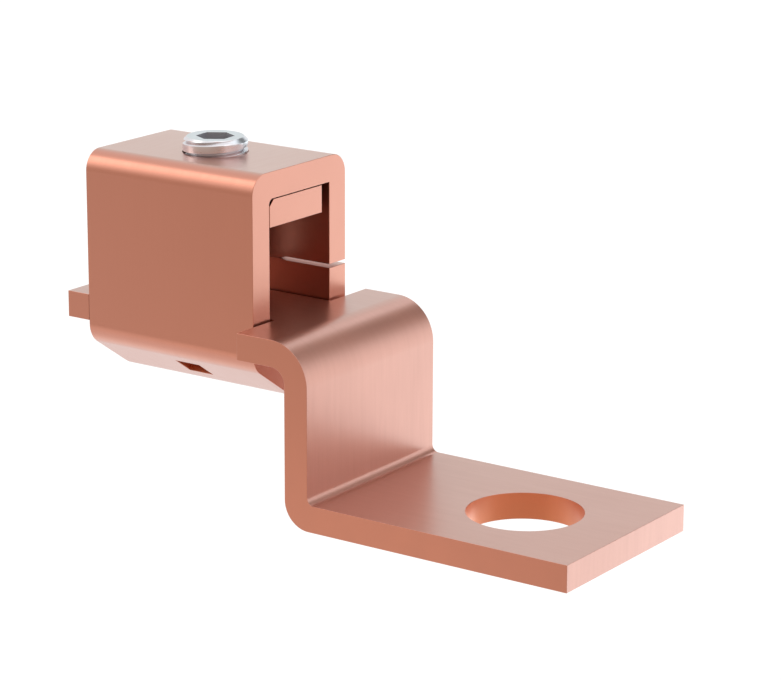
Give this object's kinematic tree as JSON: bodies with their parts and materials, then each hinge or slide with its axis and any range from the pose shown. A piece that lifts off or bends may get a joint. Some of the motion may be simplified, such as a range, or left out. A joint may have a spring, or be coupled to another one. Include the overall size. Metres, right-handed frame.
{
  "type": "mechanical lug",
  "caption": "Bent copper lug with a stud hole in its foot and a folded collar whose set screw clamps a bare conductor.",
  "frame": {"origin": "centre of the stud hole on the face that is bolted down", "axes": "+Z along the stud hole, away from the bolted face; +X towards the tip of the tongue"},
  "size_m": [0.0364, 0.0126, 0.0205],
  "materials": {
    "copper": null,
    "zinc_steel": "bright zinc-plated steel"
  },
  "bodies": {
    "lug": {"offset_tongue": "copper", "collar": "copper", "nut_plate": "copper"},
    "screw": {"clamp_screw": "zinc_steel"}
  },
  "joints": [
    {"name": "screw_travel", "type": "slide", "parent": "lug", "child": "screw", "axis": [0, 0, 1], "range_m": [-0.00155, 0.0038]}
  ]
}
